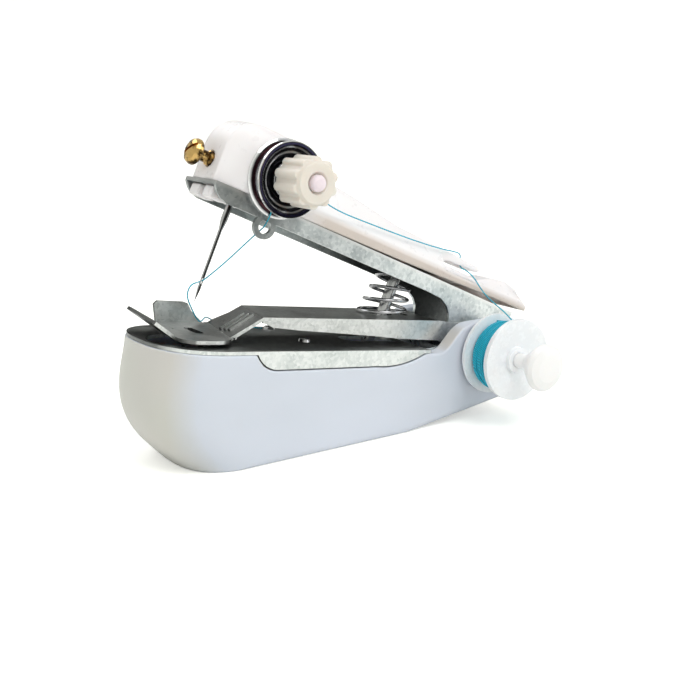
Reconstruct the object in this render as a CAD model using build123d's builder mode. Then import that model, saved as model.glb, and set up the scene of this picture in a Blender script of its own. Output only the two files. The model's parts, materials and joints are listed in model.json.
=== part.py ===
"""Pocket sewing machine, worked by squeezing it like a stapler.

The row frame: X runs from the needle end to the bobbin end, Z is up, and the bobbin sits on the -Y side.
The origin is the middle of the flat underside. All sizes are in millimetres.
"""

from build123d import *
from math import cos, sin, tan, radians, pi
import os

os.makedirs("parts", exist_ok=True)

# ---- driving dimensions ----
NOSE_X = -37.0  # X of the case's front, where the deck starts
DECK_HEIGHT = 30.0  # deck surface above the underside, at the front
DECK_TILT = 7.6  # the deck falls towards the rear, degrees
PIVOT_X, PIVOT_Z = 91.7, 17.3  # main pivot, from the front and above the underside
ARM_RISE = 24.0  # the open upper arm above the horizontal, degrees
SHEET = 0.8  # steel sheet of the deck and presser arm
ARM_SHEET = 0.9  # steel sheet of the upper arm
DECK_INSET = 0.35  # the deck plate lies this far inside the case's outer face

# plastic case
CASE_TAPER = 1.9  # the case is this much narrower each side at the rear
CASE_LENGTH = 103.0
WALL = 1.6
FLOOR = 1.8
# height, half width, front, length of the rounded nose, squareness of the nose
CASE_LEVELS = [
    (0, 15.25, 7.9, 16.6, 2.8),
    (4, 15.45, 4.0, 16.4, 2.68),
    (9, 15.7, 0.3, 16.0, 2.5),
    (15, 16.0, -1.6, 15.6, 2.36),
    (23, 16.35, -0.9, 15.4, 2.33),
    (32, 16.7, 0.1, 15.4, 2.33),
]
EAR_TOP = 25.4
EAR_INNER = 10.7

# layers across the pivot, each the distance of an outer face from the middle plane
CHEEK_HALF = 7.4
PRESSER_HALF = 8.8
DECK_EAR_HALF = 10.5
CASE_EAR_HALF = 14.2
TUBE_R, TUBE_BORE_R = 2.6, 1.85
SPINDLE_R = 1.8
RUNNING_FIT = 0.05  # radial clearance of everything that turns on a pin
PIVOT_HOLE_R = TUBE_R + RUNNING_FIT

# presser arm, in deck coordinates (s along the deck, n above it)
PRESSER_TOP = 6.4
FOOT_TOP = 1.6
NECK_REAR, NECK_FRONT = 29.6, 21.7
NECK_SKEW = 0.23  # the bends of the neck run slightly askew

# upper arm, in arm coordinates (u forward from the pivot, h square to the arm)
ARM_FRONT, ARM_REAR = 86.5, -10.0
ARM_TOP = 12.6
FLANGE_BOTTOM = 8.7
NEEDLE_U = 77.6
NEEDLE_TIP_H = -13.9
HEAD_U, HEAD_H = 71.3, 18.9  # axis of the thread tension
POST_U = 25.8
KNOB_LENGTH, KNOB_R = 8.4, 5.75
HEAD_NEAR = 7.4  # the head's flat end, on the -Y side
COVER_HALF = 7.8
COVER_WALL = 1.2

# looper, in deck coordinates: its shaft lies under the deck, along it
LOOPER_Y, LOOPER_N = 9.5, -6.0
LOOPER_R = 1.2
CRANK_S = 66.3
CRANK_REST = 41.0  # the crank's rise at rest, degrees

RIVETS = [(42.5, -3.8), (42.5, 12.6)]  # two rivets hold the rear bearing to the deck

# bobbin
BOBBIN_R, BOBBIN_CORE_R, WINDING_R = 10.25, 3.6, 8.4
BOBBIN_INNER, BOBBIN_OUTER = 15.4, 24.9
BOBBIN_RIM = 1.2
BUTTON_R = 5.85
THREAD_R = 0.15

# ---- frames ----
tilt = radians(DECK_TILT)
rise = radians(ARM_RISE)
pivot_point = (NOSE_X + PIVOT_X, 0, PIVOT_Z)
ground = Plane(origin=(NOSE_X, 0, 0))
case_side = Plane(origin=(NOSE_X, 0, 0), x_dir=(1, 0, 0), z_dir=(0, -1, 0))
deck_along = Vector(cos(tilt), 0, -sin(tilt))
deck = Plane(origin=(NOSE_X, 0, DECK_HEIGHT), x_dir=deck_along, z_dir=(sin(tilt), 0, cos(tilt)))
deck_side = Plane(origin=deck.origin, x_dir=deck.x_dir, z_dir=(0, -1, 0))
arm = Plane(origin=pivot_point, x_dir=(-cos(rise), 0, sin(rise)), z_dir=(sin(rise), 0, cos(rise)))
arm_side = Plane(origin=pivot_point, x_dir=arm.x_dir, z_dir=(0, 1, 0))
pin_line = Plane(origin=pivot_point, x_dir=(1, 0, 0), z_dir=(0, -1, 0))
pivot_on_deck = deck.to_local_coords(Vector(*pivot_point))
PIVOT_S, PIVOT_N = pivot_on_deck.X, pivot_on_deck.Z


def on_deck(s, y, n):
    """A point from its place along the deck, across it and above it."""
    return deck.from_local_coords(Vector(s, y, n))


def on_arm(u, y, h):
    """A point from its place forward along the upper arm, across it and square to it."""
    return arm.from_local_coords(Vector(u, -y, h))


def turned(plane, points, rounding=None):
    """A turned solid: points of (radius, distance along the plane's y) spun about the plane's y axis."""
    with BuildPart() as piece:
        with BuildSketch(plane) as outline:
            with BuildLine():
                Polyline(*points, close=True)
            make_face()
            for corner, radius in rounding or []:
                place = plane.from_local_coords(Vector(*corner))
                fillet(outline.vertices().sort_by_distance(place)[:1], radius)
        revolve(axis=Axis(plane.origin, plane.y_dir))
    return piece.part


def tube_along(points, radius):
    """A tube of straight runs and the largest tangent arcs that fit, with the arcs' radii and its length."""
    runs = [points[i + 1] - points[i] for i in range(len(points) - 1)]
    arcs = []
    for before, after in zip(runs, runs[1:]):
        half_turn = radians(before.get_angle(after)) / 2
        arcs.append(0.45 * min(before.length, after.length) / tan(half_turn))
    with BuildPart() as tube:
        with BuildLine():
            path = FilletPolyline(*points, radius=arcs)
        with BuildSketch(Plane(origin=path @ 0, z_dir=path % 0)):
            Circle(radius)
        sweep()
    return tube.part, arcs, path.length


def save(part, name):
    """Labels one finished sub-part and writes its STEP file."""
    part.label = name
    export_step(part, f"parts/{name}.step")


def case_outline(level, inset):
    """Plan of the case at one level: a blunt rounded nose and nearly straight sides."""
    height, half, front, depth, squareness = level
    half = half - inset
    front = front + inset
    depth = depth - inset
    nose = []
    for step in range(17):
        turn = pi * step / 16 - pi / 2
        reach = abs(sin(turn)) ** (2 / squareness)
        x = front + depth * (1 - abs(cos(turn)) ** (2 / squareness))
        nose.append((x, half * reach if turn > 0 else -half * reach))
    rear = CASE_LENGTH - inset
    rear_half = half - CASE_TAPER
    with BuildSketch(ground.offset(height)) as outline:
        with BuildLine():
            front_curve = Spline(*nose, tangents=[(-1, 0), (1, 0)])
            Polyline(front_curve @ 1, (rear, rear_half), (rear, -rear_half), front_curve @ 0)
        make_face()
        fillet(outline.vertices().sort_by(Axis.X)[-2:], radius=7 - inset)
    return outline.sketch


def case_body(inset):
    """The case's outer form, set in by some thickness, before its side profile is cut."""
    with BuildPart() as body:
        for level in CASE_LEVELS:
            add(case_outline(level, inset))
        loft()
    return body.part


def window_outline(gap):
    """The long shallow window in each side of the case, where the steel flange shows."""
    with BuildSketch(deck_side) as outline:
        with BuildLine():
            front = ThreePointArc((22 + gap, 1), (24.2 + gap, -2.9 + gap * 0.6), (29 + gap, -4.5 + gap))
            rear = ThreePointArc((57, -4.1 + gap), (67 - gap, -2.9 + gap), (74.5 - 2 * gap, 1))
            Line(front @ 1, rear @ 0)
            Line(rear @ 1, front @ 0)
        make_face()
    return outline.sketch


# ---- case ----
def rim_height(x):
    """Height of the case's rim, which carries the deck plate."""
    return DECK_HEIGHT - SHEET / cos(tilt) - 0.05 - x * tan(tilt)


def belly_section(x, half_width, bottom):
    """Cross-section that rounds off the case's lower long edges at one place along it."""
    with BuildSketch(Plane(origin=(NOSE_X + x, 0, 0), x_dir=(0, 1, 0), z_dir=(1, 0, 0))) as section:
        top = 40
        spread = (top - bottom) * 0.045
        with BuildLine():
            Polyline(
                (-half_width, bottom),
                (half_width, bottom),
                (half_width + spread, top),
                (-half_width - spread, top),
                close=True,
            )
        make_face()
        fillet(section.vertices().sort_by(Axis.Y)[:2], radius=2)
    return section.sketch


with BuildPart() as rounded_belly:
    add(belly_section(-6, 15.9, -0.4))
    add(belly_section(66, 14.15, -0.4))
    loft(ruled=True)
with BuildPart() as rounded_heel:
    add(belly_section(66, 14.15, -0.4))
    add(belly_section(106, 13.25, 4.8))
    loft(ruled=True)
with BuildPart() as case_profile:
    with BuildSketch(case_side):
        with BuildLine():
            rim = Line((-6, rim_height(-6)), (74.5, rim_height(74.5)))
            ear_front = Spline(rim @ 1, (79.9, 22.3), (86.5, EAR_TOP), tangents=[(1, -0.13), (1, 0)])
            ear_top = Line(ear_front @ 1, (92.5, EAR_TOP))
            ear_rear = ThreePointArc(ear_top @ 1, (99.8, 21.8), (103.5, 14))
            back = Line(ear_rear @ 1, (103.5, 11.5))
            heel = ThreePointArc(back @ 1, (100.8, 6.9), (96, 3))
            Polyline(heel @ 1, (90, -1), (-6, -1), rim @ 0)
        make_face()
    extrude(amount=20, both=True)
with BuildPart() as case_cavity:
    add(case_body(WALL))
    with BuildSketch(case_side):
        with BuildLine():
            Polyline((-6, 40), (74, 40), (74, 3), (66, FLOOR), (-6, FLOOR), close=True)
        make_face()
    extrude(amount=20, both=True, mode=Mode.INTERSECT)
with BuildPart() as arm_slot:
    with BuildSketch(case_side):
        with BuildLine():
            Polyline((72, 40), (115, 40), (115, 9.5), (101, 9.5), (96, 7), (82, 3.4), (72, 2.4), (72, 40))
        make_face()
    extrude(amount=EAR_INNER, both=True)
with BuildPart() as side_windows:
    extrude(window_outline(0), amount=20, both=True)
with BuildPart() as spindle_bore:
    with BuildSketch(pin_line.offset(-20)):
        Circle(TUBE_R + 0.02)
    extrude(amount=40)
case_solid = case_body(0) & case_profile.part & (rounded_belly.part + rounded_heel.part)
lower_shell_part = case_solid - case_cavity.part - arm_slot.part - side_windows.part - spindle_bore.part
save(lower_shell_part, "lower_shell")

# ---- deck plate: nose, slots, side flanges and the two ears that carry the pivot ----
with BuildPart() as deck_openings:
    with BuildSketch(deck.offset(-2)):
        with Locations((9.8, -3.4)):
            Circle(7.4)
        with Locations((15, 0)):
            SlotOverall(9, 5)
        with Locations((64.2, 0)):
            SlotOverall(17, 6.6)
        with Locations((CRANK_S, 3.2)):
            Rectangle(3.4, 6.4)
        with Locations(*RIVETS):
            Circle(0.82)
    extrude(amount=4)
with BuildPart() as deck_plate:
    add(case_body(DECK_INSET))
    with BuildSketch(deck_side):
        with Locations((29, -SHEET / 2)):
            Rectangle(88, SHEET)
    extrude(amount=20, both=True, mode=Mode.INTERSECT)
    for side in (-1, 1):
        with BuildSketch(case_side.offset(side * (DECK_EAR_HALF - SHEET / 2))):
            with BuildLine():
                Polyline((69, 18), (69, 20.4), (75, 19.6), (82, 20), (PIVOT_X, PIVOT_Z + 7))
                Polyline((PIVOT_X, PIVOT_Z + 7), (PIVOT_X, PIVOT_Z - 7), (82, 12), (76, 15), (69, 18))
            make_face()
            with Locations((PIVOT_X, PIVOT_Z)):
                Circle(7)
                Circle(TUBE_R + 0.02, mode=Mode.SUBTRACT)
        extrude(amount=SHEET / 2, both=True)
with BuildPart() as flange_band:
    add(case_body(DECK_INSET))
    add(case_body(DECK_INSET + SHEET), mode=Mode.SUBTRACT)
with BuildPart() as window_fill:
    extrude(window_outline(0.3), amount=20, both=True)
with BuildPart() as flange_zone:
    with BuildSketch(deck_side):
        with Locations((48, -4)):
            Rectangle(60, 8)
    extrude(amount=20, both=True)
window_flanges = flange_band.part & window_fill.part & flange_zone.part
deck_plate_part = deck_plate.part + window_flanges - deck_openings.part
save(deck_plate_part, "deck_plate")

with BuildPart() as deck_rivets:
    with BuildSketch(deck.offset(-2.6)):
        with Locations(*RIVETS):
            Circle(0.8)
    extrude(amount=2.6)
    with BuildSketch(deck):
        with Locations(*RIVETS):
            Circle(1.5)
    extrude(amount=0.6, taper=20)
save(deck_rivets.part, "deck_rivets")

# ---- pivot: a tube riveted between the ears, with the bobbin's spindle pressed through it ----
pivot_radial = Plane(origin=pivot_point, x_dir=(0, 0, 1), z_dir=(1, 0, 0))
tube_half = CASE_EAR_HALF + 0.1
save(
    turned(
        pivot_radial,
        [(TUBE_BORE_R, -tube_half), (TUBE_R, -tube_half), (TUBE_R, tube_half), (TUBE_BORE_R, tube_half)],
    ),
    "pivot_tube",
)
save(
    turned(
        pivot_radial,
        [
            (0, -16.2), (3.6, -16.2), (3.6, -14.9), (SPINDLE_R, -14.9), (SPINDLE_R, 28.4),
            (2.5, 29.0), (4.1, 31.5), (5.4, 33.1), (BUTTON_R, 33.7), (BUTTON_R, 34.4),
            (5.2, 35.2), (3.4, 35.8), (0, 36.0),
        ],
        [((3.6, -16.2), 0.6)],
    ),
    "bobbin_spindle",
)
save(
    turned(pivot_radial, [(SPINDLE_R + 0.03, 14.65), (2.9, 14.65), (2.9, 15.2), (SPINDLE_R + 0.03, 15.2)]),
    "bobbin_washer",
)

# ---- bobbin and its winding ----
bore = SPINDLE_R + RUNNING_FIT
near, far = BOBBIN_INNER, BOBBIN_OUTER
save(
    turned(
        pivot_radial,
        [
            (bore, near), (BOBBIN_R, near), (BOBBIN_R, near + BOBBIN_RIM),
            (BOBBIN_CORE_R, near + BOBBIN_RIM + 0.3),
            (BOBBIN_CORE_R, far - BOBBIN_RIM - 0.3), (BOBBIN_R, far - BOBBIN_RIM), (BOBBIN_R, far),
            (7.6, far - 0.25), (3.4, far - 0.6), (3.2, far + 0.3), (bore, far + 0.3),
        ],
        [
            ((BOBBIN_R, near), 0.5), ((BOBBIN_R, near + BOBBIN_RIM), 0.5),
            ((BOBBIN_R, far), 0.5), ((BOBBIN_R, far - BOBBIN_RIM), 0.5),
        ],
    ),
    "bobbin",
)
wind_in = near + BOBBIN_RIM + 0.35
wind_out = far - BOBBIN_RIM - 0.35
save(
    turned(
        pivot_radial,
        [
            (BOBBIN_CORE_R + 0.02, wind_in), (WINDING_R - 0.5, wind_in), (WINDING_R, wind_in + 1.2),
            (WINDING_R - 0.1, wind_out - 1.2), (WINDING_R - 0.6, wind_out),
            (BOBBIN_CORE_R + 0.02, wind_out),
        ],
    ),
    "bobbin_thread",
)

# ---- presser arm: channel, neck and foot bent from one sheet ----
def presser_flange_outline():
    """Side of the channel, from the neck to the lug on the pivot."""
    with BuildSketch(deck_side) as outline:
        with BuildLine():
            Polyline(
                (26, PRESSER_TOP), (79.3, PRESSER_TOP), (84.5, 5.9), (PIVOT_S, PIVOT_N + 6.5),
                (PIVOT_S, PIVOT_N - 6.5), (88, -5.2), (83.5, -0.6), (80, 1.3), (67, 1.7), (61, 2.2),
                (49, 2.9), (37.6, 3.5), (30.3, 4.1), (28.6, 4.9), (26, 5.2), close=True,
            )
        make_face()
        with Locations((PIVOT_S, PIVOT_N)):
            Circle(6.5)
            Circle(PIVOT_HOLE_R, mode=Mode.SUBTRACT)
    return outline.sketch


with BuildPart() as presser_flanges:
    extrude(presser_flange_outline(), amount=PRESSER_HALF, both=True)
    with BuildSketch(deck_side):
        with Locations((75, 0)):
            Rectangle(120, 40)
    extrude(amount=PRESSER_HALF - SHEET, both=True, mode=Mode.SUBTRACT)
    with BuildSketch(deck.offset(-1)):
        with BuildLine():
            Polyline(
                (15, -12), (NECK_REAR - 12 * NECK_SKEW, -12), (NECK_REAR + 12 * NECK_SKEW, 12), (15, 12),
                close=True,
            )
        make_face()
    extrude(amount=9, mode=Mode.SUBTRACT)
with BuildPart() as presser_web:
    with BuildSketch(deck.offset(PRESSER_TOP - SHEET)):
        with BuildLine():
            Polyline(
                (NECK_REAR - PRESSER_HALF * NECK_SKEW, -PRESSER_HALF), (79.3, -PRESSER_HALF),
                (79.3, PRESSER_HALF), (NECK_REAR + PRESSER_HALF * NECK_SKEW, PRESSER_HALF), close=True,
            )
        make_face()
        with Locations((67.25, 0)):
            SlotOverall(6.5, 3.8, mode=Mode.SUBTRACT)
        with Locations((74.2, 0)):
            Circle(1.5, mode=Mode.SUBTRACT)
    extrude(amount=SHEET)
with BuildPart() as presser_neck:
    with BuildSketch(deck_side) as neck_profile:
        with BuildLine():
            Polyline(
                (NECK_REAR, PRESSER_TOP), (NECK_REAR + 0.1, PRESSER_TOP - SHEET),
                (NECK_FRONT + 0.3, FOOT_TOP - SHEET), (NECK_FRONT - 1, FOOT_TOP - SHEET),
                (NECK_FRONT - 1, FOOT_TOP), (NECK_FRONT, FOOT_TOP), close=True,
            )
        make_face()
    extrude(neck_profile.sketch, amount=16, dir=deck.y_dir + deck.x_dir * NECK_SKEW)
    extrude(neck_profile.sketch, amount=16, dir=-deck.y_dir - deck.x_dir * NECK_SKEW)
    with BuildSketch(deck.offset(-1)):
        with BuildLine():
            Polyline(
                (17.5, -8.0), (20.5, -8.2), (27.6, -PRESSER_HALF), (31.7, PRESSER_HALF), (28.6, 9.3),
                (25.6, 11.8), (18.5, 12.0), close=True,
            )
        make_face()
    extrude(amount=9, mode=Mode.INTERSECT)
with BuildPart() as neck_ribs:
    up_neck = (deck.x_dir * (NECK_REAR - NECK_FRONT) + deck.z_dir * (PRESSER_TOP - FOOT_TOP)).normalized()
    slope = Plane(
        origin=on_deck((NECK_REAR + NECK_FRONT) / 2 - 0.4, -1, (PRESSER_TOP + FOOT_TOP) / 2 - 0.2),
        x_dir=up_neck,
        z_dir=up_neck.cross(deck.y_dir + deck.x_dir * NECK_SKEW),
    )
    with BuildSketch(slope):
        with Locations((0, -2.4), (0, 0), (0, 2.4)):
            SlotOverall(7.4, 0.9)
    extrude(amount=0.6)
with BuildPart() as presser_foot:
    with BuildSketch(deck.offset(FOOT_TOP - SHEET)):
        with BuildLine():
            near_front = Line((8.9, 9.0), (6.95, -6.6))
            near_corner = ThreePointArc(near_front @ 1, (7.6, -10.9), (11.2, -12.4))
            near_side = Spline(near_corner @ 1, (16.6, -12.0), (20.2, -8.1), tangents=[(1, 0.02), (0.4, 1)])
            far_side = Polyline(near_side @ 1, (23.0, 10.5), (22.9, 13), (11.2, 13))
            Line(far_side @ 1, near_front @ 0)
        make_face()
        with Locations((15, 0.4)):
            SlotOverall(7.5, 2.2, rotation=90, mode=Mode.SUBTRACT)
    extrude(amount=SHEET)
lip_origin = on_deck(6.95, -6.6, FOOT_TOP - SHEET / 2)
lip_along = (on_deck(8.9, 9.0, FOOT_TOP - SHEET / 2) - lip_origin).normalized()
lip_up = (on_deck(1.4, -6.0, FOOT_TOP - SHEET / 2 + 3.6) - lip_origin).normalized()
lip_plane = Plane(origin=lip_origin, x_dir=lip_along, z_dir=lip_along.cross(lip_up))
with BuildPart() as presser_lip:
    with BuildSketch(lip_plane):
        with BuildLine():
            Polyline(
                (0, -0.5), (0, 5.6), (1.2, 6.4), (16.5, 6.4), (20.6, 5.8), (20.4, 4.6), (17.0, 2.4),
                (15.7, -0.5), close=True,
            )
        make_face()
    extrude(amount=SHEET / 2, both=True)
with BuildPart() as presser_wing:
    with BuildSketch(deck_side.offset(-13)):
        with BuildLine():
            Polyline(
                (11.2, FOOT_TOP - SHEET), (10.2, 5.6), (11.0, 6.4), (18.0, 6.3), (18.9, 6.0), (20.1, 4.1),
                (22.9, 1.8), (22.6, FOOT_TOP - SHEET), close=True,
            )
        make_face()
    extrude(amount=SHEET)
presser_arm_part = (
    presser_web.part + presser_flanges.part + presser_neck.part + neck_ribs.part
    + presser_foot.part + presser_lip.part + presser_wing.part
)
save(presser_arm_part, "presser_arm")

# ---- upper arm: an inverted channel, with cheeks on the pivot and a thread eyelet ----
with BuildPart() as upper_arm:
    with BuildSketch(arm_side):
        with BuildLine():
            Polyline(
                (ARM_FRONT, ARM_TOP), (ARM_FRONT, 11.6), (85.6, 10.4), (84.4, 9.4),
                (82.3, FLANGE_BOTTOM + 0.1),
                (20, FLANGE_BOTTOM), (15.2, 8.4), (12.6, 7.2), (11.0, 5.6), (10.3, 3.4), (9.6, 0),
                (6.0, -2.6),
                (-6.0, -2.6), (-7.2, 1.5), (-9.2, 7), (ARM_REAR, ARM_TOP), close=True,
            )
        make_face()
        Circle(6.5)
        Circle(PIVOT_HOLE_R, mode=Mode.SUBTRACT)
    extrude(amount=CHEEK_HALF, both=True)
    with BuildSketch(arm_side):
        with Locations((38, ARM_TOP - ARM_SHEET - 20)):
            Rectangle(120, 40)
    extrude(amount=CHEEK_HALF - ARM_SHEET, both=True, mode=Mode.SUBTRACT)
    with BuildSketch(arm_side.offset(-CHEEK_HALF)):
        with Locations((HEAD_U, 7.4)):
            Circle(2.85)
            Circle(1.65, mode=Mode.SUBTRACT)
        with Locations((HEAD_U, 9.2)):
            Rectangle(4, 1.2)
    extrude(amount=ARM_SHEET)
    with BuildSketch(arm.offset(ARM_TOP - 2)):
        with Locations((NEEDLE_U, 0)):
            Circle(2.3)
        with Locations((POST_U, 0)):
            Circle(1.52)
        with Locations((82.3, -3.2), (82.3, 3.2)):
            Rectangle(2.8, 4.4)
    extrude(amount=3, mode=Mode.SUBTRACT)
save(upper_arm.part, "upper_arm")


# ---- plastic cover of the upper arm, with the head that holds the needle and the thread tension ----
def cover_station(u):
    """Plane square to the upper arm: local x across it, local y away from the pivot side."""
    return Plane(origin=on_arm(u, 0, 0), x_dir=(0, -1, 0), z_dir=arm.x_dir)


def cover_section(u, half, low, shoulder, crest, crest_half, wall):
    """One cross-section of the cover: upright skirt, leaning side and rounded crest."""
    half = half - wall
    crest_half = crest_half - wall * 0.55
    bottom = low - 0.5 if wall else low
    with BuildSketch(cover_station(u)) as section:
        with BuildLine():
            Polyline(
                (-half, bottom), (half, bottom), (half - 0.1, shoulder - wall * 0.7),
                (crest_half, crest - wall - 0.9), (crest_half - 0.9, crest - wall),
                (0.9 - crest_half, crest - wall), (-crest_half, crest - wall - 0.9),
                (0.1 - half, shoulder - wall * 0.7), close=True,
            )
        make_face()
    return section.sketch


def cover_loft(stations, wall):
    """A run of cover cross-sections joined up."""
    with BuildPart() as run:
        for station in stations:
            add(cover_section(*station, wall))
        loft(ruled=True)
    return run.part


# each station: u, half width, lower edge, shoulder, crest, half width of the crest
spine_stations = [
    (67, 7.3, 12.7, 14.6, 24.2, 4.2), (61, 7.3, 12.7, 14.6, 23.9, 4.1),
    (58, COVER_HALF, 12.7, 14.7, 23.7, 4.0),
    (47, COVER_HALF, 12.8, 14.8, 22.8, 3.9), (33, COVER_HALF, 13.0, 15.0, 21.2, 3.8),
    (17, COVER_HALF, 13.4, 15.2, 20.9, 3.6),
]
skirt_stations = [
    (19, COVER_HALF, 13.35, 15.1, 17.4, 4.2), (2, COVER_HALF, 13.9, 15.5, 17.2, 4.2),
    (-2.5, COVER_HALF, 14.0, 16.0, 19.2, 4.6), (-7, COVER_HALF, 14.1, 16.3, 19.8, 4.8),
    (-12, 7.6, 14.2, 16.4, 19.0, 4.6), (-14.8, 6.8, 14.3, 15.6, 16.8, 3.6),
]
spine = cover_loft(spine_stations, 0) - cover_loft(
    [(68, *spine_stations[0][1:])] + spine_stations[1:5] + [(18.5, *spine_stations[5][1:])], COVER_WALL
)
skirt = cover_loft(skirt_stations, 0) - cover_loft(
    skirt_stations[:5] + [(-13.7, 7.0, 14.3, 15.9, 17.4, 3.9)], COVER_WALL
)
with BuildPart() as spine_tongue:
    with BuildSketch(arm_side):
        with BuildLine():
            Polyline((19, 20.9), (3.4, 20.3), (2.6, 19.6), (3.0, 18.9), (14, 18.5), (19, 16.5), close=True)
        make_face()
    extrude(amount=3.7, both=True)
    with BuildSketch(arm.offset(15)):
        with Locations((9.2, 2.4)):
            Circle(0.7)
    extrude(amount=8, mode=Mode.SUBTRACT)


def head_section(y, back, front, top, radius):
    """Cross-section of the head along the arm: upright walls and two rounded upper corners."""
    with BuildSketch(arm_side.offset(y)) as section:
        with BuildLine():
            Polyline((back, ARM_TOP + 0.05), (front, ARM_TOP + 0.05), (front, top), (back, top), close=True)
        make_face()
        fillet(section.vertices().sort_by(Axis.Y)[-2:], radius)
    return section.sketch


with BuildPart() as head:
    add(head_section(-HEAD_NEAR, 63.0, 79.8, 27.3, 8.3))
    add(head_section(-4.8, 63.0, 86.2, 28.4, 7.8))
    add(head_section(4.0, 63.2, 86.5, 28.8, 7.6))
    add(head_section(7.6, 64.0, 84.9, 28.2, 7.0))
    loft(ruled=True)
with BuildPart() as head_hollows:
    with BuildSketch(arm.offset(ARM_TOP - 2)):
        with Locations((NEEDLE_U, 0)):
            Circle(2.25)
    extrude(amount=12)
    with BuildSketch(Plane(origin=on_arm(78, 0, 17.3), x_dir=(0, -1, 0), z_dir=arm.x_dir)):
        Circle(1.85)
    extrude(amount=12)
    with BuildSketch(arm_side.offset(-HEAD_NEAR - 2)):
        with Locations((HEAD_U, HEAD_H)):
            Circle(1.52)
    extrude(amount=9)
with BuildPart() as cover_hooks:
    for y in (-3.2, 3.2):
        with BuildSketch(arm_side.offset(y)):
            with BuildLine():
                Polyline(
                    (81.1, 13.5), (83.5, 13.5), (83.5, 11.55), (85.7, 11.55), (85.7, 8.9), (81.1, 8.9),
                    close=True,
                )
            make_face()
        extrude(amount=2.05, both=True)
top_cover_part = spine + skirt + spine_tongue.part + head.part + cover_hooks.part - head_hollows.part
save(top_cover_part, "top_cover")

# ---- needle, its bush and its clamp screw ----
needle_axis = Plane(origin=on_arm(NEEDLE_U, 0, 0), x_dir=arm.x_dir, z_dir=(0, 1, 0))
needle_body = turned(
    needle_axis,
    [
        (0, NEEDLE_TIP_H), (0.38, -10.6), (0.42, 3.5), (0.8, 6.0), (0.8, 19.5), (0.5, 20), (0, 20),
    ],
)
with BuildPart() as needle_eye:
    with BuildSketch(arm_side.offset(-2)):
        with Locations((NEEDLE_U, -8.8)):
            SlotOverall(1.5, 0.46, rotation=90)
    extrude(amount=4)
save(needle_body - needle_eye.part, "needle")
with BuildPart() as screw_hole:
    with BuildSketch(Plane(origin=on_arm(NEEDLE_U + 0.5, 0, 17.3), x_dir=(0, -1, 0), z_dir=arm.x_dir)):
        Circle(1.8)
    extrude(amount=4)
bush_body = turned(needle_axis, [(0.82, 9.4), (1.6, 9.4), (2.2, 10.4), (2.2, 21.0), (0.82, 21.0)])
save(bush_body - screw_hole.part, "needle_bush")
screw_axis = Plane(origin=on_arm(0, 0, 17.3), x_dir=arm.z_dir, z_dir=(0, -1, 0))
screw_body = turned(
    screw_axis,
    [
        (0, 78.7), (1.2, 78.7), (1.7, 79.4), (1.7, 86.9), (1.35, 87.2), (1.35, 89.5),
        (2.7, 89.5), (3.0, 89.9), (3.0, 90.6), (2.6, 91.4), (1.7, 91.9), (0, 92.2),
    ],
)
with BuildPart() as screw_slot:
    with BuildSketch(Plane(origin=on_arm(91.2, 0, 17.3), x_dir=(0, -1, 0), z_dir=arm.x_dir)):
        Rectangle(8, 0.7, rotation=35)
    extrude(amount=3)
save(screw_body - screw_slot.part, "needle_screw")

# ---- thread tension: stud, two dished discs, a spring and a lobed knob ----
tension_axis = Plane(origin=on_arm(HEAD_U, 0, HEAD_H), x_dir=arm.z_dir, z_dir=-arm.x_dir)
save(turned(tension_axis, [(0, 0.6), (1.5, 0.6), (1.5, 21.2), (0, 21.2)]), "tension_stud")
save(
    turned(
        tension_axis,
        [
            (1.55, 8.5), (5.2, 8.5), (7.4, 7.95), (8.4, 7.5), (9.0, 7.5), (9.1, 7.9),
            (8.6, 8.2), (7.6, 8.5), (5.4, 9.0), (1.55, 9.0),
        ],
    ),
    "inner_tension_disc",
)
save(
    turned(
        tension_axis,
        [
            (1.55, 9.5), (5.0, 9.5), (7.0, 10.1), (8.1, 11.1), (8.6, 11.1), (8.5, 11.5), (7.8, 11.5),
            (6.8, 10.7), (4.9, 10.0), (1.55, 10.0),
        ],
    ),
    "outer_tension_disc",
)
tension_coil = [
    tension_axis.from_local_coords(
        Vector(
            (4.6 - 0.9 * i / 22) * cos(2 * pi * i / 10),
            10.4 + 1.8 * i / 22,
            (4.6 - 0.9 * i / 22) * sin(2 * pi * i / 10),
        )
    )
    for i in range(23)
]
save(tube_along(tension_coil, 0.3)[0], "tension_spring")
knob_face = tension_axis.origin + Vector(0, -12.9, 0)
knob_end = knob_face + Vector(0, -KNOB_LENGTH, 0)
with BuildPart() as tension_knob:
    with BuildSketch(Plane(origin=knob_face, x_dir=arm.x_dir, z_dir=(0, -1, 0))):
        Circle(KNOB_R - 0.75)
        with PolarLocations(KNOB_R - 1.1, 10):
            Circle(1.1)
        Circle(1.5 + RUNNING_FIT, mode=Mode.SUBTRACT)
    extrude(amount=KNOB_LENGTH)
    with BuildSketch(Plane(origin=knob_end, x_dir=arm.x_dir, z_dir=(0, -1, 0))):
        Circle(KNOB_R - 0.8)
        Circle(2.05, mode=Mode.SUBTRACT)
    extrude(amount=0.8, taper=30)
save(tension_knob.part, "tension_knob")
save(
    turned(tension_axis, [(0, 21.35), (1.85, 21.35), (1.85, 22.3), (1.6, 22.8), (1.0, 23.1), (0, 23.2)]),
    "knob_cap",
)

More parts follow.
